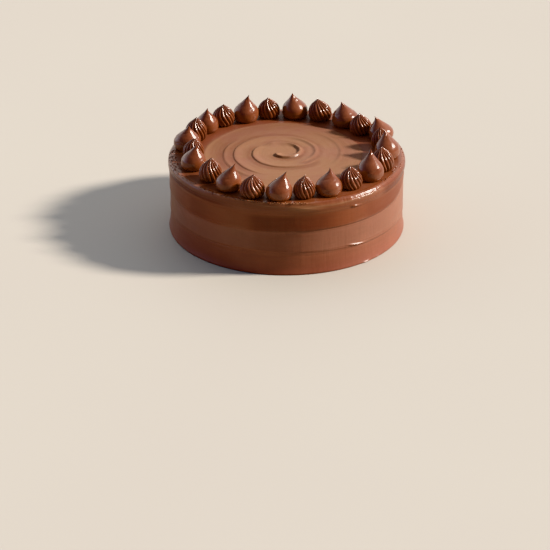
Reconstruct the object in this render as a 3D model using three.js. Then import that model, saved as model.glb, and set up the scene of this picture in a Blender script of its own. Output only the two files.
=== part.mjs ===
// A whole chocolate ganache torte, 200 mm across, with a trowelled spiral on its top
// and a ring of 24 piped kisses, plain ones and fluted ones by turns.
//
// Millimetres, +Z up. The origin is the middle of the flat base, and the front is towards -Y.
// Angles round the cake are in degrees, anticlockwise seen from above, from +X.

import * as THREE from 'three';

// ---------- driving dimensions ----------

const cakeRadius = 100;          // widest, at the lip of the coat
const topHeight = 64.5;          // the level seat of the kisses
const cakeSteps = 66;            // sides of the cake's circle
const seatGap = 0.3;             // clearance under each kiss

const baseRadius = 99.4;         // foot, where the coat meets what the cake stands on
const lowerBand = { top: 19, radius: 98.4 };
const middleBand = { top: 38, radius: 98.7 };
const upperBand = { top: 54, radius: 99.1 };
const lip = { middle: 60, edge: 98.4 };
const bandRise = 1.2;            // how far the upper step climbs and sinks on its way round
const handSway = 0.25;           // how far the hand-smoothed side is out of round

const swirlCentre = [0, 2];      // the spiral is turned a little behind the cake's axis
const swirlSway = 4;             // how much each turn drifts to one side
const swirlSwayAngle = 110;      // the side on which a turn moves outward fastest
const ridgeInside = 4.2;         // width of a ridge's gentle inner slope
const ridgeOutside = 1.5;        // width of its steep outer slope
const ridgeFade = 28;            // degrees over which a ridge rises at its start and dies at its end
const discRadius = 66;           // edge of the trowelled disc, inside the seat of the kisses
const discCrown = 0.6;           // the disc's middle stands this much above the seat

// Each ridge of the spiral: where it starts and ends, its radius at the start,
// how far out it moves in a whole turn, and its height.
const ridges = [
  { from: 185, to: 510, radius: 9.3, growth: 19, height: 1.7 },
  { from: 500, to: 700, radius: 24.5, growth: 18, height: 1.2 },
  { from: 285, to: 612, radius: 23.6, growth: 24, height: 0.9 },
  { from: 140, to: 255, radius: 48.5, growth: 22, height: 0.8 },
  { from: 318, to: 425, radius: 46, growth: 16, height: 0.5 },
];

// Radii of the rings of points on the top, closest together where the ridges run.
const topRings = [93.5, 78, 69, 65, 61, 57.6, 55, 51, 47.8, 45.5, 41, 36, 32, 29.2, 26.8, 22.5,
  17.5, 13.5, 11.2, 9, 5];

const ringRadius = 84;           // the circle on which the kisses stand
const ringCentre = [-0.5, -2];   // it is piped slightly nearer to the front
const fluteCount = 16;
const fluteDepth = 1.7;
const fluteTwist = 50;           // degrees from the tip down to the base
const tipRadius = 0.45;
const plainSteps = 16;           // sides of a plain kiss
const coatColour = 0x7a4128;
const kissColour = 0x6f3a22;

// The kisses in order round the ring, every second one fluted: its angle, how far it is
// off the ring, its width and its height. Hand piping leaves all of them a little uneven.
// A few tips were pulled off further along the ring, or further in, than the rest.
const kisses = [
  { at: 266, out: 1.5, width: 21.8, height: 23, along: 6 },
  { at: 280, out: -0.5, width: 18.2, height: 18 },
  { at: 294.5, out: -0.5, width: 22, height: 21 },
  { at: 309.5, out: -1, width: 19.4, height: 18.2 },
  { at: 326, out: 0, width: 22, height: 25 },
  { at: 340.5, out: 1, width: 19.4, height: 20 },
  { at: 357.5, out: 1, width: 21.2, height: 24.4 },
  { at: 371, out: -1.5, width: 17.8, height: 18.6 },
  { at: 384, out: 5, width: 21.6, height: 20, inward: 5 },
  { at: 396.5, out: -4, width: 19, height: 17.8 },
  { at: 411.5, out: -1, width: 23, height: 21.5 },
  { at: 429, out: -0.5, width: 20.2, height: 18.8, along: 2.4 },
  { at: 444.5, out: 0, width: 22.8, height: 22.5 },
  { at: 460, out: 0.5, width: 19.2, height: 18 },
  { at: 474.5, out: -1, width: 21.8, height: 24, along: -1 },
  { at: 489, out: 1.5, width: 19.6, height: 18.8 },
  { at: 502.5, out: 1.5, width: 20, height: 22 },
  { at: 516, out: 0, width: 18.8, height: 20.5 },
  { at: 530, out: 1, width: 22.8, height: 22 },
  { at: 544, out: -6, width: 18, height: 18.4 },
  { at: 558.5, out: -2.5, width: 21.4, height: 22 },
  { at: 578.5, out: -4, width: 19.2, height: 19.6 },
  { at: 595, out: -1.5, width: 21.4, height: 22.8, along: 5 },
  { at: 611, out: 1.5, width: 20.6, height: 18.4 },
];

// A kiss's outline from base to tip: share of its height, share of its half width.
// The nozzle is pulled off along the ring and a little inward, so the tip leans that way.
const plainKiss = {
  outline: [
    [0, 0.84], [0.1, 0.96], [0.22, 1], [0.35, 0.94],
    [0.5, 0.72], [0.64, 0.5], [0.78, 0.3], [0.9, 0.13],
  ],
  along: 3,
  inward: 2.5,
};
const flutedKiss = {
  outline: [[0, 0.84], [0.15, 0.98], [0.33, 1], [0.52, 0.88], [0.7, 0.58], [0.87, 0.25]],
  along: 0.6,
  inward: 1.2,
};

// ---------- small helpers ----------

const radians = THREE.MathUtils.degToRad;
const smooth = THREE.MathUtils.smoothstep;

// Repeatable uneven numbers between -1 and 1.
function unevenness(seed) {
  let state = seed;
  return () => {
    state = (Math.imul(state, 1664525) + 1013904223) >>> 0;
    return state / 2 ** 31 - 1;
  };
}

// A solid of revolution about +Z whose points are then moved by shape(radius, angle, height).
function turnedSolid(outline, steps, shape) {
  const points = outline.map(([radius, height]) => new THREE.Vector2(radius, height));
  const geometry = new THREE.LatheGeometry(points, steps);
  geometry.rotateX(Math.PI / 2);
  const position = geometry.attributes.position;
  for (let i = 0; i < position.count; i += 1) {
    const x = position.getX(i);
    const y = position.getY(i);
    const moved = shape(Math.hypot(x, y), Math.atan2(y, x), position.getZ(i));
    position.setXYZ(i, moved[0], moved[1], moved[2]);
  }
  geometry.computeVertexNormals();
  return geometry;
}

function polar(radius, angle) {
  return [radius * Math.cos(angle), radius * Math.sin(angle)];
}

// ---------- the cake ----------

// Height of one ridge at a point of the spiral's own polar frame, with a trough outside it.
function ridgeHeight(ridge, radius, degrees) {
  let height = 0;
  for (let turn = 0; turn < 3; turn += 1) {
    const along = degrees + 360 * turn;
    if (along < ridge.from || along > ridge.to) continue;
    const drift = Math.sin(radians(along - swirlSwayAngle)) - Math.sin(radians(ridge.from - swirlSwayAngle));
    const crest = ridge.radius + ridge.growth * (along - ridge.from) / 360 + swirlSway * drift;
    const strength = smooth(along, ridge.from, ridge.from + ridgeFade)
      * (1 - smooth(along, ridge.to - ridgeFade, ridge.to));
    const across = radius - crest;
    const width = across < 0 ? ridgeInside : ridgeOutside;
    const trough = Math.exp(-(((across - 2.6) / 1.8) ** 2));
    height += ridge.height * strength * (Math.exp(-((across / width) ** 2)) - 0.35 * trough);
  }
  return height;
}

// The top at a radius about the spiral's centre: level under the kisses, crowned inside them.
function topRelief(radius, angle) {
  const degrees = (THREE.MathUtils.radToDeg(angle) + 360) % 360;
  const crown = discCrown * (1 - smooth(radius, discRadius - 14, discRadius + 2));
  const swirl = ridges.reduce((sum, ridge) => sum + ridgeHeight(ridge, radius, degrees), 0);
  return crown + swirl * smooth(radius, 0, 7) * (1 - smooth(radius, 62, 68));
}

// Up the side, where the coat was drawn round in bands, over the lip and in to the axis.
function cakeOutline() {
  const side = [
    [0, 0],
    [baseRadius, 0],
    [baseRadius + 0.5, 1.6],
    [lowerBand.radius + 0.5, 6],
    [lowerBand.radius, 13],
    [lowerBand.radius - 0.1, lowerBand.top - 0.6],
    [lowerBand.radius + 0.4, lowerBand.top + 1],
    [middleBand.radius - 0.2, (lowerBand.top + middleBand.top) / 2],
    [middleBand.radius - 0.3, middleBand.top - 0.6],
    [upperBand.radius, middleBand.top + 1],
    [upperBand.radius - 0.1, 48],
    [upperBand.radius - 0.1, upperBand.top],
    [cakeRadius - 0.2, upperBand.top + 2.4],
    [cakeRadius, lip.middle],
    [lip.edge + 0.9, topHeight - 1.9],
    [lip.edge - 1.4, topHeight - 0.3],
  ];
  return [...side, ...topRings.map((radius) => [radius, topHeight]), [0, topHeight]];
}

function cake() {
  return turnedSolid(cakeOutline(), cakeSteps, (radius, angle, height) => {
    const [x, y] = polar(radius, angle);
    if (height > topHeight - 0.01) {
      const slide = 1 - smooth(radius, 40, discRadius);
      const relief = topRelief(radius, angle);
      return [x + swirlCentre[0] * slide, y + swirlCentre[1] * slide, height + relief];
    }
    const sway = handSway * smooth(height, 2, 12) * (Math.cos(2 * angle + 0.7) + Math.cos(3 * angle - 1)) / 2;
    const inBand = smooth(height, 20, 38) * (1 - smooth(height, 40, 54));
    const swell = radius > 0 ? 1 + sway / radius : 1;
    return [x * swell, y * swell, height + bandRise * inBand * Math.cos(angle + 0.6)];
  });
}

// ---------- the kisses ----------

// The outline in mm, closed at the base by the axis and at the tip by a small blunt end.
function kissOutline(kind, halfWidth, height) {
  const wall = kind.outline.map(([rise, share]) => [share * halfWidth, rise * height]);
  return [[0, 0], ...wall, [tipRadius, height * 0.985], [0, height]];
}

// Where the axis of a kiss runs at a share of its height: straight at first, then to the tip.
function lean(kind, kiss, share) {
  const bend = Math.max(0, share - 0.2) ** 2 / 0.64;
  const along = (kiss.along ?? kind.along) * bend;
  const inward = (kiss.inward ?? kind.inward) * bend;
  const facing = radians(kiss.at);
  return [
    -along * Math.sin(facing) - inward * Math.cos(facing),
    along * Math.cos(facing) - inward * Math.sin(facing),
  ];
}

function plainKissSolid(kiss) {
  const outline = kissOutline(plainKiss, kiss.width / 2, kiss.height);
  return turnedSolid(outline, plainSteps, (radius, angle, height) => {
    const [x, y] = polar(radius, angle);
    const [shiftX, shiftY] = lean(plainKiss, kiss, height / kiss.height);
    return [x + shiftX, y + shiftY, height];
  });
}

// Every second point of the circle is on a crest and the others are in a groove.
function flutedKissSolid(kiss, random) {
  const outline = kissOutline(flutedKiss, kiss.width / 2, kiss.height);
  const twist = radians(fluteTwist * (1 + 0.15 * random()));
  return turnedSolid(outline, fluteCount * 2, (radius, angle, height) => {
    const share = height / kiss.height;
    const crest = (1 + Math.cos(fluteCount * (angle + Math.PI / 2))) / 2;
    const depth = fluteDepth * Math.min(1, radius / (kiss.width * 0.3));
    const cut = radius > tipRadius ? depth * (1 - crest) : 0;
    const [x, y] = polar(radius - cut, angle + twist * (1 - share));
    const [shiftX, shiftY] = lean(flutedKiss, kiss, share);
    return [x + shiftX, y + shiftY, height];
  });
}

// ---------- the assembled torte ----------

const coat = new THREE.MeshStandardMaterial({ color: coatColour, roughness: 0.38, metalness: 0 });
const piping = new THREE.MeshStandardMaterial({ color: kissColour, roughness: 0.28, metalness: 0 });

function named(name, geometry, material) {
  const mesh = new THREE.Mesh(geometry, material);
  mesh.name = name;
  return mesh;
}

function twoDigits(number) {
  return String(number).padStart(2, '0');
}

const torte = new THREE.Group();
torte.add(named('cake', cake(), coat));

const random = unevenness(7);
kisses.forEach((kiss, index) => {
  const fluted = index % 2 === 1;
  const geometry = fluted ? flutedKissSolid(kiss, random) : plainKissSolid(kiss);
  const kind = fluted ? 'kiss_fluted_' : 'kiss_plain_';
  const mesh = named(kind + twoDigits(Math.floor(index / 2) + 1), geometry, piping);
  const [x, y] = polar(ringRadius + kiss.out, radians(kiss.at));
  mesh.position.set(ringCentre[0] + x, ringCentre[1] + y, topHeight + seatGap);
  torte.add(mesh);
});

export default torte;
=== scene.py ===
# %% [markdown]
# # A ganache torte with a ring of piped kisses
# The real cake is a plain round one. A cook spread soft ganache over it on a turntable, drew a
# scraper round the side, let a palette knife run inwards over the turning top, and piped
# 24 kisses round the edge. The measured model already has each of those parts in its place.
# This lesson gives every part its fine shape and its finish, and nothing moves or grows.
#
# Lengths in the lists below are in millimetres, and the finished meshes are in metres.
# The origin is the middle of the cake's flat base, and angles run anticlockwise from +X.

# %% Load the measured model
import math
import random

import bmesh
import bpy
import numpy as np
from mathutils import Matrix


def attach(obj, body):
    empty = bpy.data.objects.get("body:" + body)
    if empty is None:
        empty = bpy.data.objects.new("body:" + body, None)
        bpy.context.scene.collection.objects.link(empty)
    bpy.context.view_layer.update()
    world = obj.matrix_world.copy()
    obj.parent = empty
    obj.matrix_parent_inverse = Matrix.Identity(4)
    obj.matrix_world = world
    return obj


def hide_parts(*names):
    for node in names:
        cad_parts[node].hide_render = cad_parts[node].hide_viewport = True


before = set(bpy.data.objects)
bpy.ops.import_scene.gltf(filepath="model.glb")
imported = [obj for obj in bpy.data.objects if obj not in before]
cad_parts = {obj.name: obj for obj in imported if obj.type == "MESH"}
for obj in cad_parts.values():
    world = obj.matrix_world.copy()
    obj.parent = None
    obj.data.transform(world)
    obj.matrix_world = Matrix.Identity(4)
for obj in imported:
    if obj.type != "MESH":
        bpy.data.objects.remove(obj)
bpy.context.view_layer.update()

MM = 0.001
print("measured parts:", len(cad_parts))

# %% [markdown]
# ## The camera
# A cake is usually taken from a little above with a long lens, which keeps its sides nearly
# parallel. The place and the lens decide how the ring of kisses opens up, so the camera comes
# before any shape is judged.

# %% Place the camera
CAMERA_PLACE = (-9.8, -1994.8, 951.5)
CAMERA_DIP = 26.65
CAMERA_LENS = 169.27


def place_camera():
    """Adds the camera, looking along +Y and down by CAMERA_DIP degrees."""
    lens = bpy.data.cameras.new("studio_camera")
    lens.lens = CAMERA_LENS
    lens.sensor_width = 36
    camera = bpy.data.objects.new("studio_camera", lens)
    camera.location = [part * MM for part in CAMERA_PLACE]
    camera.rotation_euler = (math.radians(90 - CAMERA_DIP), 0, 0)
    bpy.context.scene.collection.objects.link(camera)
    bpy.context.scene.camera = camera
    return camera


print("camera at", [round(part, 3) for part in place_camera().location])

# %% [markdown]
# ## Nodes and colours
# A material is a small chain of nodes. One function adds a node, sets it and links it, and
# another turns the colour that a painter would name on screen into the linear values that
# light needs.

# %% Helpers for nodes and colours
def linear(hex_colour):
    """An sRGB colour such as "#7a4128" as linear red, green, blue and alpha."""
    shares = [int(hex_colour[start:start + 2], 16) / 255 for start in (1, 3, 5)]
    return [s / 12.92 if s <= 0.04045 else ((s + 0.055) / 1.055) ** 2.4 for s in shares] + [1.0]


def add(tree, kind, inputs=None, **settings):
    """Adds one node. Each input gets a plain value, or a link where the value is a socket."""
    node = tree.nodes.new(kind)
    for name, value in settings.items():
        setattr(node, name, value)
    for name, value in (inputs or {}).items():
        socket = next(s for s in node.inputs if name in (s.identifier, s.name))
        if isinstance(value, bpy.types.NodeSocket):
            tree.links.new(value, socket)
        else:
            socket.default_value = value
    return node


def empty_material(name):
    """A new material and its node tree, with only the output node in it."""
    material = bpy.data.materials.new(name)
    material.use_nodes = True
    material.node_tree.nodes.clear()
    return material, material.node_tree


print("ganache brown in linear values:", [round(part, 3) for part in linear("#7a4128")])

# %% [markdown]
# ## Studio light and floor
# One lamp stands level with the cake's right side and rather low. It looks 8 degrees wide from
# the cake, so every kiss throws a short shadow with a soft edge and carries a white highlight.
# A pale wall behind the cake does the rest: the flat top, seen at a low angle, mirrors it. A
# window at the left lightens the cake's left edge. The room on the camera's side is darker, and
# that keeps the front of a dark cake dark. Smooth gradients in the world's colour are enough
# for wall, window and room, and need no extra objects.

# %% Light the studio
LAMP_HEIGHT_ANGLE = 32
LAMP_STRENGTH = 7.0
LAMP_ANGLE = 8
LAMP_COLOUR = "#fff6ea"
ROOM_STRENGTH = 0.31
ROOM_DARK_SIDE = "#bfd3f3"
ROOM_BRIGHT_SIDE = "#f1efec"
# What is bright in the room: the pale wall behind the cake, and a low window at its left.
# Each brightens smoothly where a direction agrees with its own by "start" up to "end".
BRIGHT_SIDES = [
    {"toward": (-0.1, 1.0, 0.55), "start": -0.05, "end": 1.15, "adds": 0.95},
    {"toward": (-0.95, 0.2, -0.2), "start": 0.55, "end": 1.0, "adds": 1.9},
]


def light_studio():
    """A low lamp from +X, and a world that is bright towards +Y and towards -X."""
    sun = bpy.data.lights.new("key_lamp", "SUN")
    sun.energy = LAMP_STRENGTH
    sun.angle = math.radians(LAMP_ANGLE)
    sun.color = linear(LAMP_COLOUR)[:3]
    lamp = bpy.data.objects.new("key_lamp", sun)
    lamp.rotation_euler = (0, math.radians(90 - LAMP_HEIGHT_ANGLE), 0)
    bpy.context.scene.collection.objects.link(lamp)

    world = bpy.data.worlds.new("studio_room")
    world.use_nodes = True
    tree = world.node_tree
    tree.nodes.clear()
    direction = add(tree, "ShaderNodeTexCoord").outputs["Generated"]
    strength = ROOM_STRENGTH
    shares = []
    for side in BRIGHT_SIDES:
        agree = add(tree, "ShaderNodeVectorMath", {
            "Vector": direction, "Vector_001": side["toward"]}, operation="DOT_PRODUCT")
        share = add(tree, "ShaderNodeMapRange", {
            "Value": agree.outputs["Value"], "From Min": side["start"], "From Max": side["end"]},
            interpolation_type="SMOOTHSTEP")
        shares.append(share.outputs["Result"])
        strength = add(tree, "ShaderNodeMath", {
            "Value": shares[-1], "Value_001": side["adds"], "Value_002": strength},
            operation="MULTIPLY_ADD").outputs[0]
    room = add(tree, "ShaderNodeValToRGB", {"Fac": shares[0]})
    room.color_ramp.elements[0].color = linear(ROOM_DARK_SIDE)
    room.color_ramp.elements[1].color = linear(ROOM_BRIGHT_SIDE)
    glow = add(tree, "ShaderNodeBackground", {"Color": room.outputs["Color"], "Strength": strength})
    add(tree, "ShaderNodeOutputWorld", {"Surface": glow.outputs["Background"]})
    bpy.context.scene.world = world
    bpy.context.scene.view_settings.view_transform = "Khronos PBR Neutral"
    return lamp


print("key lamp stands", LAMP_HEIGHT_ANGLE, "degrees above the table:", light_studio().name)

# %% Lay the floor
FLOOR_HALF = 4.0


def lay_floor():
    """A plain pale tabletop, made by one bmesh grid, with a faint unevenness in its finish."""
    mesh = bpy.data.meshes.new("floor")
    bm = bmesh.new()
    bmesh.ops.create_grid(bm, x_segments=1, y_segments=1, size=FLOOR_HALF)
    bm.to_mesh(mesh)
    bm.free()
    floor = bpy.data.objects.new("floor", mesh)
    bpy.context.scene.collection.objects.link(floor)
    material, tree = empty_material("matt_painted_tabletop")
    cloud = add(tree, "ShaderNodeTexNoise", {
        "Vector": add(tree, "ShaderNodeTexCoord").outputs["Object"], "Scale": 3.0, "Detail": 2.0})
    paint = add(tree, "ShaderNodeValToRGB", {"Fac": cloud.outputs["Fac"]})
    paint.color_ramp.elements[0].color = linear("#b4ada4")
    paint.color_ramp.elements[1].color = linear("#b8b2a8")
    surface = add(tree, "ShaderNodeBsdfPrincipled", {
        "Base Color": paint.outputs["Color"], "Roughness": 0.7})
    add(tree, "ShaderNodeOutputMaterial", {"Surface": surface.outputs["BSDF"]})
    mesh.materials.append(material)
    return floor


print("floor is", round(lay_floor().dimensions.x, 1), "m wide")

# %% [markdown]
# ## A turned mesh
# Cake and kisses are all round things that were then pushed about a little. So each starts as
# a line of points on one side of an upright axis. bmesh's spin turns the line into a closed
# skin, and the points are moved afterwards, all at once, as an array. Moving an array is much
# faster than a loop over a hundred thousand points, and the skin stays whole.

# %% Helpers for turned meshes
def spun_mesh(name, outline, steps):
    """Spins (radius, height) points round the Z axis into a closed mesh, in millimetres."""
    bm = bmesh.new()
    line = [bm.verts.new((radius, 0, height)) for radius, height in outline]
    edges = [bm.edges.new(pair) for pair in zip(line, line[1:])]
    bmesh.ops.spin(
        bm, geom=line + edges, cent=(0, 0, 0), axis=(0, 0, 1), angle=2 * math.pi, steps=steps,
        use_merge=True, use_duplicate=False)
    on_axis = [v for v in bm.verts if math.hypot(v.co.x, v.co.y) < 1e-6]
    bmesh.ops.remove_doubles(bm, verts=on_axis, dist=1e-4)
    bmesh.ops.recalc_face_normals(bm, faces=bm.faces)
    for face in bm.faces:
        face.smooth = True
    mesh = bpy.data.meshes.new(name)
    bm.to_mesh(mesh)
    bm.free()
    return mesh


def read_points(mesh):
    """The mesh's points as an array with three columns."""
    flat = np.empty(len(mesh.vertices) * 3)
    mesh.vertices.foreach_get("co", flat)
    return flat.reshape(-1, 3)


def polar(mesh):
    """The radius, angle and height of each of the mesh's points."""
    x, y, height = read_points(mesh).T
    return np.hypot(x, y), np.arctan2(y, x), height


def write_points(mesh, points):
    """Puts moved points back, turned from millimetres to metres."""
    mesh.vertices.foreach_set("co", (points * MM).ravel())
    mesh.update()


def store(mesh, name, values):
    """Keeps one number for each point, or one vector, for a material to read."""
    kind, field = ("FLOAT_VECTOR", "vector") if values.ndim == 2 else ("FLOAT", "value")
    data = mesh.attributes.new(name, kind, "POINT").data
    data.foreach_set(field, values.astype(np.float32).ravel())


def ease(values, start, end):
    """0 before start, 1 after end, and a smooth climb between."""
    share = np.clip((values - start) / (end - start), 0, 1)
    return share * share * (3 - 2 * share)


def hump(values, middle, width):
    """A smooth bump of height 1."""
    return np.exp(-((values - middle) / width) ** 2)


def split_long(points, longest):
    """Adds points along a line, so that no stretch of it is longer than asked."""
    dense = [points[0]]
    for (r0, z0), (r1, z1) in zip(points, points[1:]):
        pieces = max(1, math.ceil(math.hypot(r1 - r0, z1 - z0) / longest))
        for i in range(1, pieces + 1):
            dense.append((r0 + (r1 - r0) * i / pieces, z0 + (z1 - z0) * i / pieces))
    return dense


def through(points, spans):
    """A smooth curve through points (Catmull-Rom), with so many spans between each two."""
    ends = [points[0], *points, points[-1]]
    curve = []
    for a, b, c, d in zip(ends, ends[1:], ends[2:], ends[3:]):
        for i in range(spans):
            t = i / spans
            curve.append(tuple(
                0.5 * (2 * q + (r - p) * t + (2 * p - 5 * q + 4 * r - s) * t ** 2
                       + (3 * q - p - 3 * r + s) * t ** 3)
                for p, q, r, s in zip(a, b, c, d)))
    return curve + [points[-1]]


# %% [markdown]
# ## The coat: bands, lip and spiral
# The scraper was drawn round the side more than once, so the side is three bands with a small
# step between each two. At the top the coat folds over a lip: crisp at the front left, where
# the ganache was cut off level, and rounder at the right. The palette knife left the spiral:
# ridges that rise gently from the inside and fall steeply outside, each with a shallow trough
# behind it. The ridges and steps are real shape here, and only what is thinner than about
# half a millimetre is left to the material.

# %% The outline of the coat
SEAT = 64.5
COAT_STEPS = 400
PROFILE_LENGTH = SEAT + 99
# The side as heights with a radius each, and the lip as radii with a height each.
SIDE_BANDS = [
    (0, 99.3), (0.5, 99.8), (1.5, 99.95), (2.8, 99.5), (6, 98.9), (13, 98.4), (18.7, 98.3),
    (19.6, 98.8), (28.5, 98.5), (37.9, 98.4), (38.9, 99.1), (48, 99.0), (52.8, 99.0),
    (54.6, 99.35), (56.8, 99.8), (58.5, 99.97), (60, 100), (61.5, 99.8), (62.6, 99.5),
    (63.4, 99.05),
]
LIP_TOP = [
    (98.95, 63.75), (98.4, 64.0), (97.8, 64.2), (97, 64.35), (96, 64.43), (94.8, 64.48),
    (93.5, SEAT),
]


def coat_outline():
    """From the axis, out over the base, up the side, over the lip and back to the axis.

    The points lie close together where there is a step, a mark or a ridge to draw.
    """
    base = [(0, 0), (30, 0), (60, 0), (85, 0), (97, 0)]
    low = [(99.8, z) for z in np.arange(0, 1.6, 0.25)]
    low += split_long([(99.8, 1.8), (98.3, 15.8)], 1.8)
    step = [(98.4, z) for z in np.arange(16.2, 22.4, 0.45)]
    middle = split_long([(98.6, 23), (98.4, 36.5)], 1.9)
    ledge = [(98.8, z) for z in np.arange(37.0, 41.0, 0.45)]
    upper = split_long([(99, 41.6), (99, 52.5)], 1.9)
    lip = [(99.8, z) for z in np.arange(53.2, 63.6, 0.4)]
    seat = split_long([(93.5, SEAT), (72, SEAT)], 3)[1:]
    disc = [(radius, SEAT) for radius in np.arange(71.5, 54, -0.9)]
    disc += [(radius, SEAT) for radius in np.arange(53.5, 2.4, -0.46)]
    side = low + step + middle + ledge + upper + lip
    return base + side + LIP_TOP + seat + disc + [(1.5, SEAT), (0, SEAT)]


coat = spun_mesh("ganache_coat", coat_outline(), COAT_STEPS)
print("coat:", len(coat.vertices), "points,", len(coat.polygons), "faces before shaping")

# %% The spiral on the top
SWIRL_CENTRE_Y = 2.0
SWIRL_SWAY = 4.0
SWIRL_SWAY_ANGLE = 110
RIDGE_FADE = 28
RIDGE_STEEP = 0.65
RIDGE_SOFT_ANGLE = 25
RIDGES = [
    {"start": 185, "end": 510, "radius": 9.3, "growth": 19, "height": 1.75},
    {"start": 500, "end": 700, "radius": 24.5, "growth": 18, "height": 0.75},
    {"start": 285, "end": 612, "radius": 23.6, "growth": 24, "height": 0.6},
    {"start": 140, "end": 255, "radius": 48.5, "growth": 22, "height": 0.5},
    {"start": 318, "end": 425, "radius": 46, "growth": 16, "height": 0.3},
]


def turns(ridge, degrees):
    """For each turn of a ridge: the angle along it, its crest's radius, and its strength."""
    for turn in range(3):
        along = degrees + 360 * turn
        first = math.radians(ridge["start"] - SWIRL_SWAY_ANGLE)
        sway = SWIRL_SWAY * (np.sin(np.radians(along - SWIRL_SWAY_ANGLE)) - math.sin(first))
        crest = ridge["radius"] + ridge["growth"] * (along - ridge["start"]) / 360 + sway
        crest += 0.15 * np.sin(np.radians(along * 5)) + 0.08 * np.sin(np.radians(along * 13 + 40))
        strength = ease(along, ridge["start"], ridge["start"] + RIDGE_FADE)
        yield along, crest, strength * (1 - ease(along, ridge["end"] - RIDGE_FADE, ridge["end"]))


def softness(along):
    """0 where the ridges fall off steeply, 1 where the knife rounded them."""
    return ease(np.cos(np.radians(along - RIDGE_SOFT_ANGLE)), 0.3, 0.9)


def ridge_height(ridge, radius, degrees):
    """One ridge of the spiral: gentle on its inside, steep outside, with a trough after it."""
    height = np.zeros_like(radius)
    for along, crest, strength in turns(ridge, degrees):
        across = radius - crest
        inside = 4.2 - 2.6 * softness(along)
        outside = RIDGE_STEEP + 1.9 * softness(along)
        slope = np.exp(-(across / np.where(across < 0, inside, outside)) ** 2)
        height += ridge["height"] * strength * (slope - 0.1 * hump(across, 2.2, 1.8))
    return height


def knife_lines(radius, angle):
    """Fine lines that a knife leaves here and there along the spiral, about 0.03 mm deep."""
    phase = radius / 20 - angle / (2 * math.pi)
    lines = 0
    for waves, depth, drift in ((5, 0.05, 1), (8, 0.04, 2), (13, 0.03, 3), (19, 0.02, 5)):
        strength = 0.6 + 0.4 * np.sin(drift * angle + waves)
        lines = lines + depth * strength * np.sin(2 * math.pi * waves * phase + waves)
    patches = np.sin(2 * angle + radius / 9) + np.sin(3 * angle - radius / 14)
    return 0.3 * lines * ease(patches, -0.2, 1.5)


def disc_edge(angle):
    """Radius at which the knife left the coat: a little further out at the left and front."""
    even = 66.6 - 3 * np.cos(angle) - 1.4 * np.sin(angle)
    return even + 0.5 * np.sin(4 * angle + 1) + 0.3 * np.sin(9 * angle)


def top_relief(radius, angle):
    """Height of the top over the level seat of the kisses."""
    degrees = np.degrees(angle) % 360
    swirl = sum(ridge_height(ridge, radius, degrees) for ridge in RIDGES)
    inside = 1 - ease(radius, disc_edge(angle) - 0.9, disc_edge(angle) + 0.9)
    crown = 0.35 * (1 - ease(radius, 40, 68)) + 0.25 * inside
    knife = swirl + knife_lines(radius, angle)
    return crown + knife * ease(radius, 0, 7) * (1 - ease(radius, 62, 68))


def darker_and_painted_shade_top(radius, angle):
    """0 where the top stays pale, 1 where it is darkest: outside the ridges and far out."""
    degrees = np.degrees(angle) % 360
    behind = 0
    for ridge in RIDGES:
        for along, crest, strength in turns(ridge, degrees):
            share = strength * min(1, 1.3 * ridge["height"])
            behind = behind + share * hump(radius - crest, 3.4, 3.0)
    # Outside the ridges: darker ganache. Back and rim: painted reflection of the dark kisses.
    back = 0.5 + 0.5 * np.sin(angle - 0.2)
    darker_and_painted_shade = 0.1 + 0.5 * behind + (0.1 + 0.45 * back) * ease(radius, 14, 62)
    return np.clip(darker_and_painted_shade, 0, 1) * (1 - ease(radius, 62, 69))


def painted_shade_lines_top(radius, angle):
    """Painted shade at the outer foot of a steep ridge and inside a rounded one."""
    degrees = np.degrees(angle) % 360
    dark = 0
    for ridge in RIDGES:
        for along, crest, strength in turns(ridge, degrees):
            deep = strength * min(1, 0.75 * ridge["height"]) * (1 - 0.8 * softness(along))
            dark = dark + deep * hump(radius - crest, 1.1, 0.55)
            folded = strength * min(1, 1.2 * ridge["height"]) * softness(along)
            dark = dark + 0.6 * folded * hump(radius - crest, -2.0, 1.3)
    # Painted shadow of the kisses, which darkens the seat at the left front.
    left = ease(degrees, 168, 185) * (1 - ease(degrees, 232, 262))
    return np.clip(dark + 0.7 * left * ease(radius, 84, 90), 0, 1)


highest = max(ridge["height"] for ridge in RIDGES)
print("the spiral has", len(RIDGES), "ridges, the highest", highest, "mm")

# %% The bands on the side
def side_level(angle, height):
    """The height in the pattern of bands: the hand rose and fell a little on its way round."""
    high_step = ease(height, 20, 38) * (1 - ease(height, 44, 60))
    low_step = ease(height, 8, 16) * (1 - ease(height, 22, 34))
    high_rise = 1.2 * np.cos(angle + 0.6) + 14 * hump(np.degrees(angle), 8, 22)
    return height - high_rise * high_step - 1.4 * low_step * np.cos(2 * angle + 3.9)


def side_radius(angle, height):
    """The side as it was drawn: bands, sway of the hand and fine lines."""
    heights, radii = zip(*SIDE_BANDS)
    radius = np.interp(side_level(angle, height), heights, radii)
    sway = ease(height, 2, 12) * (np.cos(2 * angle + 0.7) + np.cos(3 * angle - 1)) / 8
    drawn = 0.05 * np.sin(height * 1.9 + 2 * np.sin(angle))
    drawn = drawn + 0.04 * np.sin(height * 3.7 + np.sin(2 * angle))
    return radius + sway + drawn * ease(height, 3, 8) * (1 - ease(height, 55, 62))


print("the side is drawn through", len(SIDE_BANDS), "heights")

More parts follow.
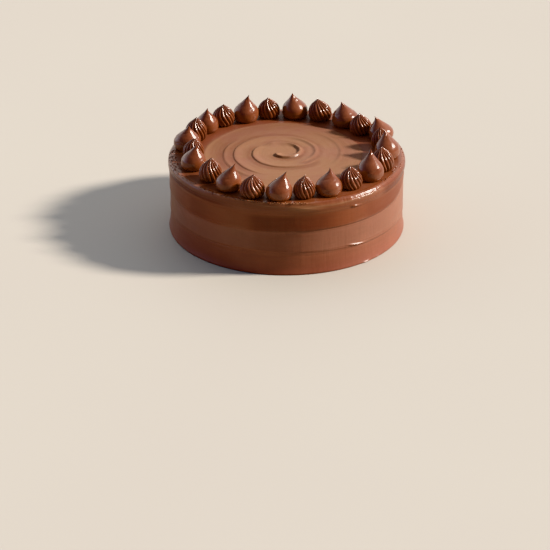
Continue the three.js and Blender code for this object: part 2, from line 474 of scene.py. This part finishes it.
# %% Marks on the side
# Middle angle, middle height, half length round in degrees, half height, how far a mark
# climbs per degree, how proud it stands, and how much prouder it is at its left end.
SIDE_MARKS = [
    {"at": -53, "height": 19.2, "half": 6, "tall": 0.55, "climb": -0.24, "proud": 1.0, "skew": 0.8},
    {"at": -49, "height": 0.9, "half": 2.4, "tall": 0.5, "climb": 0, "proud": 0.6},
    {"at": -41, "height": 1.0, "half": 0.9, "tall": 0.45, "climb": 0, "proud": 0.5},
    {"at": -105, "height": 28, "half": 0.9, "tall": 20, "climb": 0, "proud": 0.12},
    {"at": -83, "height": 26, "half": 0.8, "tall": 22, "climb": 0, "proud": 0.10},
    {"at": -60, "height": 22, "half": 0.8, "tall": 18, "climb": 0, "proud": 0.07},
    {"at": -155, "height": 33, "half": 7, "tall": 1.2, "climb": -0.9, "proud": 0.20},
    {"at": -141, "height": 33, "half": 6, "tall": 1.1, "climb": -0.9, "proud": 0.18},
    {"at": -81, "height": 59.8, "half": 7, "tall": 0.9, "climb": -0.18, "proud": 0.5},
    {"at": -79, "height": 58.0, "half": 5, "tall": 0.7, "climb": -0.15, "proud": 0.35},
    {"at": -92, "height": 62.2, "half": 9, "tall": 0.7, "climb": -0.05, "proud": 0.35},
    {"at": -55.3, "height": 55.2, "half": 2.4, "tall": 0.9, "climb": -0.25, "proud": 1.2,
     "skew": 0.5},
    {"at": -50, "height": 61.4, "half": 9, "tall": 0.7, "climb": 0.02, "proud": 0.3},
    {"at": 62, "height": 44, "half": 8, "tall": 1.5, "climb": 0.4, "proud": 0.20},
    {"at": 140, "height": 27, "half": 10, "tall": 1.4, "climb": -0.3, "proud": 0.20},
    {"at": 172, "height": 12, "half": 7, "tall": 1.0, "climb": 0.2, "proud": 0.18},
]


def degrees_from(angle, at):
    """How far round the cake each place is from an angle, from -180 to 180 degrees."""
    return (np.degrees(angle) - at + 180) % 360 - 180


def side_marks(angle, height):
    """Height of every mark at a place on the side."""
    proud = np.zeros_like(angle)
    for mark in SIDE_MARKS:
        round_by = degrees_from(angle, mark["at"])
        middle = mark["height"] + mark["climb"] * round_by
        along = round_by / mark["half"]
        length = np.exp(-along ** 4) * (1 - mark.get("skew", 0) * along)
        proud += mark["proud"] * length * hump(height, middle, mark["tall"])
    return proud


print("marks on the side:", len(SIDE_MARKS))

# %% Darker stretches, pale smears and shivers, partly painted shade and sheen
# Darker stretches of the side: from angle to angle, from height to height, and how much.
# The two in the upper band at the front, from -146 and from -109 degrees, are painted
# reflection: the dark room mirrored in the glossy side.
DARKER_AND_PAINTED_SHADE = [
    {"from": -109, "to": -58, "low": 38.6, "high": 53, "by": 0.8},
    {"from": -146, "to": -122, "low": 38.8, "high": 53, "by": 0.45},
    {"from": -108, "to": -70, "low": 19, "high": 37, "by": 0.35},
    {"from": -165, "to": -110, "low": 56, "high": 62, "by": 0.95},
    {"from": -170, "to": -88, "low": 0, "high": 18, "by": 0.15},
    {"from": -50, "to": -6, "low": 38.6, "high": 53, "by": 0.45},
    {"from": -38, "to": 14, "low": 54, "high": 62.5, "by": 0.9},
    {"from": 15, "to": 70, "low": 38.6, "high": 53.6, "by": 0.7},
    {"from": 100, "to": 150, "low": 38.6, "high": 53.6, "by": 0.9},
    {"from": 120, "to": 176, "low": 20, "high": 37, "by": 0.35},
    {"from": 40, "to": 110, "low": 1, "high": 18.5, "by": 0.5},
]


# Pale smears over the side. At -82 beaten ganache from the top was wiped over it. Three are
# painted light: at -167 painted reflection along the left edge, at -58 painted sheen below
# the lip's highlight, and at -97 a painted bright line along the torn edge.
SMEARS_AND_PAINTED_SHEEN = [
    {"at": -82, "height": 60.0, "half": 8, "tall": 2.3, "by": 1.0},
    {"at": -58, "height": 61.0, "half": 22, "tall": 1.0, "by": 0.9},
    {"at": -97, "height": 62.3, "half": 16, "tall": 1.0, "by": 0.6},
    {"at": -24, "height": 54.8, "half": 12, "tall": 0.6, "by": 0.8},
    {"at": -152, "height": 54.8, "half": 13, "tall": 0.6, "by": 0.8},
    {"at": -116, "height": 40, "half": 7, "tall": 12, "by": 0.22},
    {"at": -167, "height": 30, "half": 8, "tall": 28, "by": 0.8},
    {"at": -70, "height": 55, "half": 9, "tall": 1.2, "by": 0.3},
    {"at": 120, "height": 57, "half": 12, "tall": 2.0, "by": 0.5},
    {"at": 30, "height": 30, "half": 9, "tall": 9, "by": 0.25},
]


def cloud_over(angle, height, spot):
    """A soft-edged oval on the side, as strong in its middle as the spot's "by"."""
    across = hump(degrees_from(angle, spot["at"]), 0, spot["half"])
    return spot["by"] * across * hump(height, spot["height"], spot["tall"])


def smears_and_painted_sheen(angle, height):
    """How pale each place on the side is, from 0 to 1: pale ganache and painted sheen."""
    cover = sum(cloud_over(angle, height, smear) for smear in SMEARS_AND_PAINTED_SHEEN)
    streaky = 0.75 + 0.25 * np.sin(5 * height + 14 * angle) * np.sin(37 * angle + 2 * height)
    return np.minimum(cover, 1) * streaky


def darker_and_painted_shade_side(angle, level):
    """How much darker each place on the side is, from 0 to 1, partly painted reflection."""
    degrees = np.degrees(angle)
    darker_and_painted_shade = np.zeros_like(angle)
    for patch in DARKER_AND_PAINTED_SHADE:
        across = ease(degrees, patch["from"] - 2, patch["from"] + 5)
        across = across * (1 - ease(degrees, patch["to"] - 18, patch["to"]))
        up = ease(level, patch["low"] - 0.7, patch["low"] + 0.7)
        up = up * (1 - ease(level, patch["high"] - 3, patch["high"] + 2))
        darker_and_painted_shade = np.maximum(darker_and_painted_shade, patch["by"] * across * up)
    return darker_and_painted_shade


# Where the scraper shivered: upright ripples, strongest over a stretch of the side or the lip.
CHATTER = [
    {"at": -65, "height": 18, "half": 20, "tall": 18, "by": 0.22},
    {"at": -90, "height": 46, "half": 14, "tall": 8, "by": 0.25},
    {"at": -50, "height": 62.5, "half": 16, "tall": 2.5, "by": 1.0},
    {"at": 60, "height": 26, "half": 30, "tall": 16, "by": 0.2},
    {"at": 150, "height": 40, "half": 25, "tall": 16, "by": 0.2},
]


def chatter(angle, height):
    """How strongly the scraper shivered at each place, from 0 to 1."""
    return np.minimum(1, 0.1 + sum(cloud_over(angle, height, stretch) for stretch in CHATTER))


def painted_shade_lines_side(angle, height):
    """Painted shade under the ledge of the upper band, and fainter under the lower step."""
    degrees = np.degrees(angle)
    level = side_level(angle, height)
    front = ease(degrees, -112, -100) * (1 - ease(degrees, -52, -25))
    back = ease(degrees, 60, 90) * (1 - ease(degrees, 130, 160))
    right = ease(degrees, -80, -70) * (1 - ease(degrees, -20, 10))
    upper = (front + 0.8 * back) * hump(level, 38.35, 0.45)
    return upper + 0.35 * right * hump(level, 18.5, 0.45)


print("pressed stretches:", len(DARKER_AND_PAINTED_SHADE), "smears:", len(SMEARS_AND_PAINTED_SHEEN), "shivers:", len(CHATTER))

# %% Shape the coat
SIDE_TOP = 63.5
SIDE_LEAST = 98
BURR_EDGE = 98.6


def torn_burr(radius, angle, height):
    """Height of the low torn burr that the knife left where the coat was cut off level."""
    degrees = np.degrees(angle)
    ragged = 0.85 + 0.15 * np.sin(31 * angle) * np.sin(73 * angle + 1)
    burr = 1.1 * ragged * ease(degrees, -140, -124) * (1 - ease(degrees, -90, -74))
    return burr * hump(np.maximum(BURR_EDGE - radius, 0), 0, 2.2) * hump(height, 64.1, 0.8)


def shape_coat(mesh, radius, angle, height):
    """Moves the spun points to the drawn side, the lip and the trowelled top."""
    on_top = height > SEAT - 0.01
    on_side = (height < SIDE_TOP) & (radius > SIDE_LEAST)
    on_lip = ~on_top & ~on_side & (height > 60)

    # The lip is crisp at the front left and round at the right, where it also waves a little.
    degrees = np.degrees(angle)
    crisp = ease(degrees, -172, -150) * (1 - ease(degrees, -84, -68))
    waves = np.sin(36 * angle) + 0.6 * np.sin(61 * angle + 1)
    side = side_radius(angle, height) + side_marks(angle, height)
    side = side + 0.14 * waves * hump(height, 62.4, 2.2) * hump(degrees, -62, 14)
    new_radius = np.where(on_side, side, radius)
    corner = np.exp(-((new_radius - 99.2) ** 2 + (height - 63.6) ** 2) / 1.4 ** 2)
    cut = (0.8 * (1 - crisp) - 0.15 * crisp) * corner * (on_side | on_lip)

    # The burr leans out over the side, and the spiral's centre lies a little behind the middle.
    burr = torn_burr(radius, angle, height)
    new_radius = new_radius - 0.7 * cut + 0.5 * burr
    new_height = height - 0.7 * cut + burr + np.where(on_top, top_relief(radius, angle), 0)
    back = np.where(on_top, SWIRL_CENTRE_Y * (1 - ease(radius, 40, 66)), 0)
    write_points(mesh, np.column_stack([
        new_radius * np.cos(angle), new_radius * np.sin(angle) + back, new_height]))


spun_places = polar(coat)
shape_coat(coat, *spun_places)
print("coat shaped, now", [round(side / MM, 1) for side in np.ptp(read_points(coat), axis=0)], "mm")

# %% Masks for the finish of the coat
def mask_coat(mesh, radius, angle, height):
    """Stores for each point how the ganache was worked, and where shade and sheen are painted."""
    on_top = height > SEAT - 0.01
    degrees = np.degrees(angle)
    burr = torn_burr(radius, angle, height)

    # Paler and more matt: the trowelled disc and the smears on the side, some painted sheen.
    # The torn edge is painted paler too: a painted highlight along it.
    edge = disc_edge(angle)
    feather = 0.8 + 1.6 * (0.5 + 0.5 * np.sin(angle - 0.6))
    disc = 1 - ease(radius, edge - feather, edge + feather)
    painted_bright_edge = 1.3 * burr * hump(radius, 98.2, 1.2)
    store(mesh, "trowelled", np.where(on_top, disc, smears_and_painted_sheen(angle, height)) + painted_bright_edge)

    # Wetter: the seat just outside the disc, the crest of the first ridge, the marks, the lip
    # and the torn edge. Drier: the rest of the top.
    wet_edge = np.minimum(1.4, 3 * burr)
    top = (0.2 * ease(radius, edge, edge + 1.5) * (1 - ease(radius, 80, 90)) - 0.6) * on_top
    top = np.where(burr > 0.03, wet_edge, top)
    for along, crest, strength in turns(RIDGES[0], degrees % 360):
        top = top + 2.8 * strength * hump(along, 322, 16) * hump(radius - crest, 0.7, 0.7)
    marks = np.minimum(0.9, side_marks(angle, height))
    lip = hump(height, 61.5, 4) * (1 + 0.5 * hump(degrees, -50, 22))
    store(mesh, "wet", np.where(on_top, top, np.maximum(np.maximum(lip, marks), wet_edge)))

    level = side_level(angle, height)
    darker_and_painted_shade = np.where(on_top, darker_and_painted_shade_top(radius, angle), darker_and_painted_shade_side(angle, level))
    store(mesh, "darker_and_painted_shade", darker_and_painted_shade)
    painted_shade_lines = np.where(on_top, painted_shade_lines_top(radius, angle), painted_shade_lines_side(angle, height))
    store(mesh, "painted_shade_lines", painted_shade_lines)

    # The scraper shivered on the side and the lip, and the torn edge is the most uneven.
    torn = 2.2 * np.minimum(1, 2 * burr) * hump(radius, 98.8, 1.0)
    shivered = np.where(on_top & (radius < 94), 0, np.maximum(chatter(angle, height), torn))
    store(mesh, "shivered", shivered)

    # Coordinates that follow the scraper: millimetres along the outline, then the way round.
    along = np.where(on_top, PROFILE_LENGTH - radius, level)
    store(mesh, "drawn", np.column_stack([along, 12 * np.cos(angle), 12 * np.sin(angle)]))


mask_coat(coat, *spun_places)
print("stored for each point:", [a.name for a in coat.attributes if a.domain == "POINT"])

# %% [markdown]
# ## The finish of the coat
# Ganache is chocolate and cream: a dark brown fat with a soft gloss, IOR about 1.46. Where a
# knife has just passed it is smooth and mirrors the room, and where it was worked longer, as
# on the top, it is paler and more matt, because tiny air bubbles were beaten in. So colour
# and roughness both follow a stored mask of the pale disc and the pale smears, some of them
# painted sheen, and long thin streaks run the way the turntable did.

# %% Patterns of the coat
COAT_MASKS = ("trowelled", "wet", "darker_and_painted_shade", "painted_shade_lines", "shivered")


def coat_patterns(tree):
    """Everything that colour, gloss and bumps follow, as sockets by name."""
    found = {"place": add(tree, "ShaderNodeTexCoord").outputs["Object"]}
    for mask in COAT_MASKS:
        found[mask] = add(tree, "ShaderNodeAttribute", attribute_name=mask).outputs["Fac"]
    drawn = add(tree, "ShaderNodeAttribute", attribute_name="drawn").outputs["Vector"]
    found["drawn"] = drawn
    # Streaks about 3 mm wide and 24 mm long, with finer ones inside them.
    streaks = add(tree, "ShaderNodeTexNoise", {
        "Vector": drawn, "Scale": 0.35, "Detail": 4.0, "Roughness": 0.55, "Distortion": 0.2})
    found["streaks"] = streaks.outputs["Fac"]
    # Clouds about 25 mm wide, where the coat is thicker or thinner.
    clouds = add(tree, "ShaderNodeTexNoise", {
        "Vector": found["place"], "Scale": 40.0, "Detail": 3.0})
    found["clouds"] = clouds.outputs["Fac"]
    # Ripples about 2.5 mm wide and 14 mm tall, only where the scraper shivered.
    upright = add(tree, "ShaderNodeVectorMath", {
        "Vector": drawn, "Vector_001": (0.02, 1.0, 1.0)}, operation="MULTIPLY")
    ripples = add(tree, "ShaderNodeTexNoise", {
        "Vector": upright.outputs["Vector"], "Scale": 3.5, "Detail": 2.0})
    centred = add(tree, "ShaderNodeMath", {
        "Value": ripples.outputs["Fac"], "Value_001": -0.5}, operation="ADD")
    found["ripples"] = add(tree, "ShaderNodeMath", {
        "Value": centred.outputs[0], "Value_001": found["shivered"]},
        operation="MULTIPLY").outputs[0]
    return found


print("the coat's finish follows", len(COAT_MASKS), "masks")

# %% Colours of the coat
# Along the coat's outline, from its foot (0), over the lip (0.39), to its middle (1).
# The low band, up to 0.1, is rosier: painted reflection of a pink board under the cake.
OUTLINE_COLOURS = [
    (0.000, "#834e3e"), (0.100, "#84523f"), (0.134, "#865947"), (0.225, "#865947"),
    (0.250, "#7a452f"), (0.320, "#7a4630"), (0.345, "#794935"), (0.400, "#784835"),
    (0.450, "#764836"), (0.520, "#754636"), (1.000, "#754636"),
]
# Colours of the beaten top; the pale smears and painted sheen on the side take them too.
TAN_BEATEN_AND_SHEEN = "#90684d"
ROSY_BEATEN_AND_SHEEN = "#8b624d"
DARKER_AND_PAINTED_SHADE_TINT = "#ccb3ae"
WAVER = 9.0


def outline_colour(tree, found):
    """The colour of each band. The bands waver by some 3 mm on their way round."""
    along = add(tree, "ShaderNodeSeparateXYZ", {"Vector": found["drawn"]}).outputs["X"]
    wavering = add(tree, "ShaderNodeMath", {
        "Value": found["clouds"], "Value_001": WAVER, "Value_002": along},
        operation="MULTIPLY_ADD").outputs[0]
    share = add(tree, "ShaderNodeMapRange", {
        "Value": wavering, "From Min": WAVER / 2, "From Max": PROFILE_LENGTH + WAVER / 2})
    ramp = add(tree, "ShaderNodeValToRGB", {"Fac": share.outputs["Result"]})
    elements = ramp.color_ramp.elements
    for place, colour in OUTLINE_COLOURS[1:-1]:
        elements.new(place).color = linear(colour)
    elements[0].color = linear(OUTLINE_COLOURS[0][1])
    elements[-1].color = linear(OUTLINE_COLOURS[-1][1])
    return ramp.outputs["Color"]


def coat_colour(tree, found):
    """Bands and disc, darker in patches and painted shade, and mottled."""
    # On the top, tan ganache and rosier ganache were never quite mixed.
    mixed = add(tree, "ShaderNodeMapRange", {
        "Value": found["clouds"], "From Min": 0.42, "From Max": 0.62})
    beaten_and_sheen = add(tree, "ShaderNodeMix", {
        "Factor_Float": mixed.outputs["Result"], "A_Color": linear(TAN_BEATEN_AND_SHEEN),
        "B_Color": linear(ROSY_BEATEN_AND_SHEEN)}, data_type="RGBA")
    base = add(tree, "ShaderNodeMix", {
        "Factor_Float": found["trowelled"], "A_Color": outline_colour(tree, found),
        "B_Color": beaten_and_sheen.outputs[2]}, data_type="RGBA")
    # Darker, redder soft patches: pressed ganache without its air bubbles, and painted shade.
    darker_and_painted_shade = add(tree, "ShaderNodeMath", {
        "Value": found["streaks"], "Value_001": 0.9, "Value_002": found["darker_and_painted_shade"]},
        operation="MULTIPLY_ADD")
    darker_and_painted_shade = add(tree, "ShaderNodeMapRange", {
        "Value": darker_and_painted_shade.outputs[0], "From Min": 0.45, "From Max": 1.45})
    base = add(tree, "ShaderNodeMix", {
        "Factor_Float": darker_and_painted_shade.outputs["Result"], "A_Color": base.outputs[2],
        "B_Color": linear(DARKER_AND_PAINTED_SHADE_TINT)}, data_type="RGBA", blend_type="MULTIPLY")
    # Each pattern adds its share to the brightness, near 1; painted shade lines take some away.
    mottle = 0.68
    shares = {"streaks": 0.30, "clouds": 0.34, "ripples": 0.9, "painted_shade_lines": -0.4}
    for pattern, share in shares.items():
        mottle = add(tree, "ShaderNodeMath", {
            "Value": found[pattern], "Value_001": share, "Value_002": mottle},
            operation="MULTIPLY_ADD").outputs[0]
    colour = add(tree, "ShaderNodeVectorMath", {
        "Vector": base.outputs[2], "Scale": mottle}, operation="SCALE")
    return colour.outputs["Vector"]


print("colours along the coat's outline:", len(OUTLINE_COLOURS))

# %% Material: scraped ganache
def coat_roughness(tree, found):
    """Glossy where it is wet, matt where it was beaten, and uneven along the streaks."""
    rough = 0.34
    shares = {"wet": -0.2, "trowelled": 0.24, "streaks": 0.12}
    for pattern, share in shares.items():
        rough = add(tree, "ShaderNodeMath", {
            "Value": found[pattern], "Value_001": share, "Value_002": rough},
            operation="MULTIPLY_ADD").outputs[0]
    return rough


def coat_bumps(tree, found):
    """Grain about 0.6 mm wide and 0.01 mm high, streaks 0.1 mm high, and ripples 0.35 mm high.

    The first two nearly vanish where the coat is wet, and there the highlights are crisp.
    """
    dry = add(tree, "ShaderNodeMath", {
        "Value": found["wet"], "Value_001": -0.6, "Value_002": 1.0},
        operation="MULTIPLY_ADD").outputs[0]
    grain = add(tree, "ShaderNodeTexNoise", {
        "Vector": found["place"], "Scale": 1600.0, "Detail": 2.0})
    fine = add(tree, "ShaderNodeBump", {
        "Height": grain.outputs["Fac"], "Strength": dry, "Distance": 0.01 * MM})
    lines = add(tree, "ShaderNodeBump", {
        "Height": found["streaks"], "Strength": dry, "Distance": 0.1 * MM,
        "Normal": fine.outputs["Normal"]})
    shiver = add(tree, "ShaderNodeBump", {
        "Height": found["ripples"], "Strength": 1.0, "Distance": 0.35 * MM,
        "Normal": lines.outputs["Normal"]})
    return shiver.outputs["Normal"]


def scraped_ganache():
    """Chocolate and cream, spread with a knife and drawn with a scraper."""
    material, tree = empty_material("scraped_ganache")
    found = coat_patterns(tree)
    surface = add(tree, "ShaderNodeBsdfPrincipled", {
        "Base Color": coat_colour(tree, found), "Roughness": coat_roughness(tree, found),
        "IOR": 1.46, "Normal": coat_bumps(tree, found)})
    add(tree, "ShaderNodeOutputMaterial", {"Surface": surface.outputs["BSDF"]})
    return material


def dress(mesh, material, slot, *nodes):
    """Puts a finished mesh in the scene, on the one body, in place of the CAD nodes."""
    mesh.materials.append(material)
    piece = bpy.data.objects.new(mesh.name, mesh)
    bpy.context.scene.collection.objects.link(piece)
    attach(piece, "root")
    if nodes:
        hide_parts(*nodes)
    return piece


coat_piece = dress(coat, scraped_ganache(), "ganache_coat", "cake")
print("the coat is dressed in", coat_piece.active_material.name)

# %% [markdown]
# ## Measuring the kisses
# The bags were held by hand, so no two kisses are alike: each has its own place, girth and
# height, and its tip leans where the bag was pulled away. The measured model has all of that,
# so each kiss is measured there and not typed in again.

# %% Measure a kiss
def measure(node):
    """Foot on the cake, half width, height and lean of a CAD kiss, in millimetres."""
    points = read_points(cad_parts[node].data) / MM
    low, high = points[:, 2].min(), points[:, 2].max()
    foot = points[points[:, 2] < low + 0.05][:, :2].mean(axis=0)
    tip = points[points[:, 2].argmax()][:2]
    body = points[points[:, 2] < low + 0.35 * (high - low)][:, :2] - foot
    return {"foot": foot, "base": low, "height": high - low, "lean": tip - foot,
            "half_width": np.hypot(*body.T).max()}


kisses = {name: measure(name) for name in sorted(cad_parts) if name.startswith("kiss_")}
tallest = max(kiss["height"] for kiss in kisses.values())
print("kisses:", len(kisses), "tallest:", round(tallest, 1), "mm")

# %% [markdown]
# ## Plain kisses
# A round nozzle held still makes a ball, and lifting it draws the ball into a drop with a thin
# peak that curls as it breaks off. The outline is given as shares of height and half width,
# a smooth curve is drawn through it, and the spun drop is then bent and made slightly uneven.

# %% The outline of a kiss
SINK = 0.45
CURVE_SPANS = 5
PLAIN_OUTLINE = [
    (0.80, 0.00), (0.88, 0.03), (0.96, 0.09), (1.00, 0.20), (0.975, 0.33), (0.90, 0.43),
    (0.76, 0.53), (0.57, 0.63), (0.38, 0.73), (0.215, 0.82), (0.10, 0.90), (0.04, 0.96),
    (0.015, 0.99),
]
FLUTED_OUTLINE = [
    (0.78, 0.00), (0.88, 0.05), (0.97, 0.15), (1.00, 0.33), (0.91, 0.52), (0.66, 0.70),
    (0.27, 0.87), (0.08, 0.95), (0.02, 0.99),
]


def kiss_mesh(name, kiss, outline, steps):
    """A spun drop of the kiss's size, its foot sunk a little into the coat."""
    curve = [(r * kiss["half_width"], z * kiss["height"])
             for r, z in through(outline, CURVE_SPANS)]
    curve[0] = (curve[0][0], -SINK)
    return spun_mesh(name, [(0, -SINK), *curve, (0, kiss["height"])], steps)


def lean_and_place(mesh, kiss, radius, angle, height, hook):
    """Bends the drop towards its measured tip, and stands it on its measured foot."""
    share = np.clip(height / kiss["height"], 0, 1)
    bend = np.maximum(0, share - 0.2) ** 2 / 0.64
    curl = ease(share, 0.8, 1.0) ** 2
    write_points(mesh, np.column_stack([
        radius * np.cos(angle) + kiss["foot"][0] + kiss["lean"][0] * bend + hook[0] * curl,
        radius * np.sin(angle) + kiss["foot"][1] + kiss["lean"][1] * bend + hook[1] * curl,
        height + kiss["base"]]))


print("a kiss's foot is sunk", SINK, "mm into the coat")

# %% Shape a plain kiss
PLAIN_STEPS = 96
DENTS = 14
HOOK = 0.9


def dented(radius, angle, rise, rng):
    """The radius, with a few short soft strokes pressed into it."""
    for _ in range(DENTS):
        side, level = rng.uniform(-math.pi, math.pi), rng.uniform(0.12, 0.85)
        wide, tall = rng.uniform(0.1, 0.45), rng.uniform(0.015, 0.04)
        depth = rng.uniform(0.15, 0.5)
        round_by = (angle - side + math.pi) % (2 * math.pi) - math.pi
        stroke = hump(round_by, 0, wide) * hump(rise, level + 0.08 * round_by, tall)
        radius = radius - depth * stroke
    return radius


def shape_plain(mesh, kiss, rng):
    """Slightly lumpy, as soft ganache settles, with a hooked tip."""
    radius, angle, height = polar(mesh)
    phases = [rng.uniform(0, 2 * math.pi) for _ in range(4)]
    rise = height / kiss["height"]
    lumps = 0.018 * np.sin(2 * angle + phases[0] + 2 * rise)
    lumps = lumps + 0.012 * np.sin(3 * angle + phases[1] - 3 * rise)
    lumps = lumps + 0.010 * np.sin(9 * rise + phases[2] + np.sin(angle + phases[3]))
    # Some bags were lifted quickly, which leaves a thin neck, and some slowly.
    share = np.clip(radius / kiss["half_width"], 1e-4, 1)
    radius = radius * np.where(rise > 0.25, share ** rng.uniform(-0.12, 0.12), 1)
    radius = radius * (1 + lumps * ease(rise, 0, 0.1))
    radius = dented(radius, angle, rise, rng)
    turn = rng.uniform(0, 2 * math.pi)
    hook = (HOOK * math.cos(turn), HOOK * math.sin(turn))
    lean_and_place(mesh, kiss, radius, angle, height, hook)


print("a plain kiss has", DENTS, "soft dents")

# %% Shape a fluted kiss
FLUTES = 16
FLUTE_STEPS = 12
GROOVE_DEPTH = 1.9
TWIST = 50


def shape_fluted(mesh, kiss, rng):
    """Cuts the star nozzle's grooves, twists them as the bag turned, then bends the drop."""
    radius, angle, height = polar(mesh)
    rise = np.clip(height / kiss["height"], 0, 1)
    # Broad rounded ridges with narrow grooves between them, shallower towards the tip.
    groove = 1 - np.abs(np.cos(FLUTES / 2 * (angle + math.pi / 2))) ** 0.62
    depth = GROOVE_DEPTH * np.minimum(1, radius / (0.6 * kiss["half_width"])) ** 1.1
    uneven = 1 + 0.12 * np.sin(3 * angle + rng.uniform(0, 6))
    uneven = uneven + 0.1 * np.sin(5 * angle + 4 * rise + rng.uniform(0, 6))
    cut = np.where(radius > 0.15, depth * uneven * groove, 0)
    twist = math.radians(TWIST) * rng.uniform(0.85, 1.15)
    wobble = 0.05 * np.sin(7 * rise + rng.uniform(0, 6))
    wobble = wobble * np.sin(2 * angle + rng.uniform(0, 6))
    radius = np.maximum(radius - cut, 0.25 * radius)
    hook = (rng.uniform(-0.4, 0.4), rng.uniform(-0.4, 0.4))
    lean_and_place(mesh, kiss, radius, angle + twist * (1 - rise) + wobble, height, hook)


print("a fluted kiss has", FLUTES, "flutes, twisted by about", TWIST, "degrees")

# %% [markdown]
# ## The finish of the kisses
# Piped ganache isn't worked again after it leaves the nozzle, so it sets with a skin that is
# glossier than the coat's and a little darker. Soft lumps and fine grain break its highlight.

# %% Material: piped ganache
def piped_ganache():
    """Chocolate and cream with a smooth skin, as it leaves a nozzle."""
    material, tree = empty_material("piped_ganache")
    place = add(tree, "ShaderNodeTexCoord").outputs["Object"]
    clouds = add(tree, "ShaderNodeTexNoise", {
        "Vector": place, "Scale": 90.0, "Detail": 3.0}).outputs["Fac"]
    tint = add(tree, "ShaderNodeValToRGB", {"Fac": clouds})
    tint.color_ramp.elements[0].position = 0.3
    tint.color_ramp.elements[0].color = linear("#6d4131")
    tint.color_ramp.elements[1].position = 0.7
    tint.color_ramp.elements[1].color = linear("#82503b")
    rough = add(tree, "ShaderNodeMath", {
        "Value": clouds, "Value_001": 0.2, "Value_002": 0.13}, operation="MULTIPLY_ADD")
    # Skin grain about 1.4 mm wide and 0.08 mm high, on lumps 4 mm wide and 0.25 mm high.
    lumps = add(tree, "ShaderNodeTexNoise", {"Vector": place, "Scale": 260.0, "Detail": 1.0})
    soft = add(tree, "ShaderNodeBump", {
        "Height": lumps.outputs["Fac"], "Strength": 1.0, "Distance": 0.25 * MM})
    skin = add(tree, "ShaderNodeTexNoise", {"Vector": place, "Scale": 700.0, "Detail": 2.0})
    grain = add(tree, "ShaderNodeBump", {
        "Height": skin.outputs["Fac"], "Strength": 1.0, "Distance": 0.08 * MM,
        "Normal": soft.outputs["Normal"]})
    surface = add(tree, "ShaderNodeBsdfPrincipled", {
        "Base Color": tint.outputs["Color"], "Roughness": rough.outputs[0], "IOR": 1.46,
        "Specular IOR Level": 0.4, "Coat Weight": 0.3, "Coat Roughness": 0.1,
        "Normal": grain.outputs["Normal"]})
    add(tree, "ShaderNodeOutputMaterial", {"Surface": surface.outputs["BSDF"]})
    return material


piping = piped_ganache()
print("finish of the kisses:", piping.name)

# %% Pipe the ring
FIRST_SEED = 100

for number, (node, kiss) in enumerate(kisses.items()):
    rng = random.Random(FIRST_SEED + number)
    name = node.replace("kiss_", "piped_")
    if "plain" in node:
        drop = kiss_mesh(name, kiss, PLAIN_OUTLINE, PLAIN_STEPS)
        shape_plain(drop, kiss, rng)
    else:
        drop = kiss_mesh(name, kiss, FLUTED_OUTLINE, FLUTES * FLUTE_STEPS)
        shape_fluted(drop, kiss, rng)
    dress(drop, piping, "piped_ganache", node)
print("piped", len(kisses), "kisses")

# %% [markdown]
# ## Crumbs on the rim
# Where the coat was cut off level, the knife tore off small crumbs of ganache. Most of them
# stayed on the rim at the left, and a row of them marks the torn edge at the front. They are
# small lumpy spheres in one mesh, each set half into the coat at one of the coat's own points,
# so none of them floats.

# %% Scatter the crumbs
# From angle to angle, from radius to radius in millimetres, and how many.
CRUMB_PLACES = [
    {"from": -186, "to": -158, "inner": 93.0, "outer": 99.5, "count": 90},
    {"from": -158, "to": -100, "inner": 95.5, "outer": 99.0, "count": 60},
    {"from": -35, "to": 16, "inner": 93.5, "outer": 98.5, "count": 34},
    {"from": 60, "to": 150, "inner": 94.0, "outer": 98.5, "count": 16},
    {"from": -128, "to": -80, "inner": 98.0, "outer": 99.3, "count": 90},
]
CRUMB_SEED = 7
RIM_FOOT = 62.5


def crumb(bm, rng):
    """One uneven lump of 20 faces, at the origin: its points."""
    size = 0.3 + 0.6 * rng.random() ** 2
    lump = bmesh.ops.create_icosphere(bm, subdivisions=1, radius=size)["verts"]
    for vert in lump:
        vert.co *= rng.uniform(0.75, 1.2)
    stretch = (rng.uniform(0.8, 1.5), rng.uniform(0.8, 1.5), rng.uniform(0.6, 0.9))
    bmesh.ops.scale(bm, verts=lump, vec=stretch)
    return lump


def crumbs_mesh(name, ground, rng):
    """Crumbs on the rim, each half sunk in the ground mesh at one of its points."""
    points = read_points(ground) / MM
    radius, angle, height = polar(ground)
    radius, height = radius / MM, height / MM
    bm = bmesh.new()
    for place in CRUMB_PLACES:
        round_by = (np.degrees(angle) - place["from"]) % 360
        near = (round_by < place["to"] - place["from"]) & (height > RIM_FOOT)
        near = np.flatnonzero(near & (radius > place["inner"]) & (radius < place["outer"]))
        for _ in range(place["count"]):
            lump = crumb(bm, rng)
            spot = points[near[rng.randrange(len(near))]]
            aside = (rng.uniform(-0.5, 0.5), rng.uniform(-0.5, 0.5), 0)
            bmesh.ops.translate(bm, verts=lump, vec=spot + aside)
    for face in bm.faces:
        face.smooth = True
    mesh = bpy.data.meshes.new(name)
    bm.to_mesh(mesh)
    bm.free()
    write_points(mesh, read_points(mesh))
    return mesh


crumbs = crumbs_mesh("ganache_crumbs", coat, random.Random(CRUMB_SEED))
dress(crumbs, piping, "ganache_coat")
print("crumbs:", sum(place["count"] for place in CRUMB_PLACES), "in", len(crumbs.polygons), "faces")
